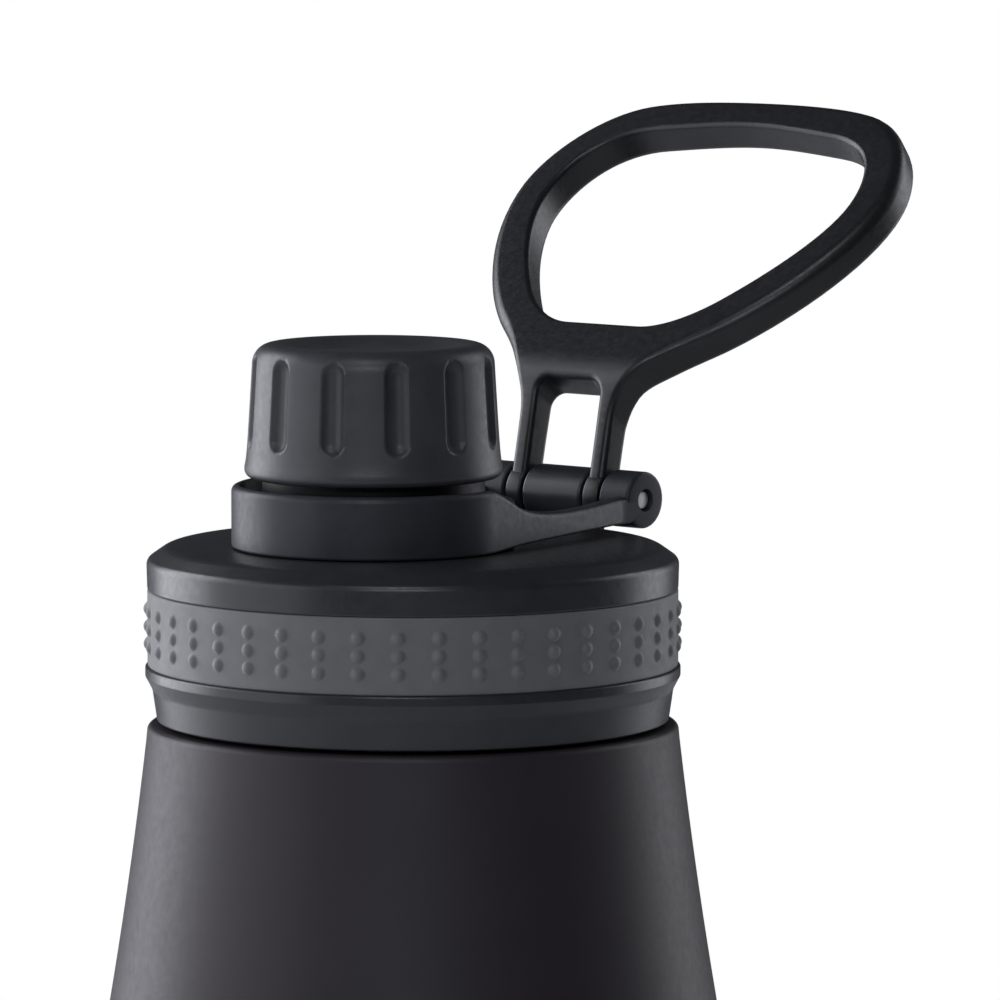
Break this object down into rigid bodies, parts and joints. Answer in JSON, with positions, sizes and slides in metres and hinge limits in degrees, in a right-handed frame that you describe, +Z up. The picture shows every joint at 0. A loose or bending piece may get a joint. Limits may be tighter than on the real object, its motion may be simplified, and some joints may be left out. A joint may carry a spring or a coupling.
{
  "type": "insulated water bottle",
  "caption": "Double-walled steel water bottle with a screw lid, a hinged collar that carries a screw cap over the spout, and a folding carry loop.",
  "frame": {"origin": "centre of the face that the bottle stands on", "axes": "+Z up along the bottle's axis; +Y towards the hinge at the back, -Y towards the spout; the hinge pin lies along X"},
  "size_m": [0.09, 0.1205, 0.2732],
  "materials": {
    "powder_coat": "matte fine-textured powder coat, near black",
    "brushed_steel_base": "brushed stainless steel",
    "bare_steel": "electropolished stainless steel",
    "copper_foil": "bare copper foil",
    "getter_metal": "dull sintered metal",
    "sealing_metal": "dull solder",
    "lid_plastic": "fine-grained charcoal polypropylene",
    "liner_plastic": "smooth dark polypropylene",
    "foam": "closed-cell foam",
    "band_silicone": "soft-touch grey silicone with raised dots",
    "seal_silicone": "translucent white silicone",
    "pin_steel": "bright stainless steel",
    "collar_plastic": "fine-grained charcoal polypropylene",
    "handle_plastic": "satin near-black plastic",
    "cap_plastic": "fine-grained charcoal polypropylene"
  },
  "bodies": {
    "bottle": {"outer_shell": "powder_coat", "inner_vessel": "bare_steel", "radiation_foil": "copper_foil", "outer_base": "bare_steel", "vacuum_plug": "sealing_metal", "getter": "getter_metal", "base_cover": "brushed_steel_base"},
    "lid_seal": {"lid_gasket": "seal_silicone"},
    "lid": {"lid_cover": "lid_plastic", "lid_liner": "liner_plastic", "lid_insulation": "foam", "grip_band": "band_silicone", "spout": "liner_plastic", "hinge_pin": "pin_steel"},
    "collar": {"hinge_collar": "collar_plastic"},
    "cap_seal": {"cap_gasket": "seal_silicone"},
    "cap": {"cap_shell": "cap_plastic", "cap_liner": "liner_plastic", "cap_retaining_ring": "liner_plastic"},
    "handle": {"carry_handle": "handle_plastic"}
  },
  "joints": [
    {"name": "lid_rise", "type": "slide", "parent": "bottle", "child": "lid_seal", "axis": [0, 0, 1], "range_m": [0, 0.0095]},
    {"name": "lid_turn", "type": "hinge", "parent": "lid_seal", "child": "lid", "pos_m": [0, 0, 0.205], "axis": [0, 0, 1], "range_deg": [0, 846]},
    {"name": "collar_swing", "type": "hinge", "parent": "lid", "child": "collar", "pos_m": [0, 0.031, 0.22305], "axis": [-1, 0, 0], "range_deg": [0, 90]},
    {"name": "cap_rise", "type": "slide", "parent": "collar", "child": "cap_seal", "axis": [0, 0, 1], "range_m": [-0.0029, 0]},
    {"name": "cap_turn", "type": "hinge", "parent": "cap_seal", "child": "cap", "pos_m": [0, -0.0076, 0.235], "axis": [0, 0, 1], "range_deg": [-77, 0]},
    {"name": "handle_swing", "type": "hinge", "parent": "lid", "child": "handle", "pos_m": [0, 0.031, 0.22305], "axis": [-1, 0, 0], "range_deg": [0, 125]}
  ],
  "couplings": [
    {"joint": "lid_rise", "follows": "lid_turn", "m_per_rad": 0.00063662},
    {"joint": "cap_rise", "follows": "cap_turn", "m_per_rad": 0.0021486}
  ]
}
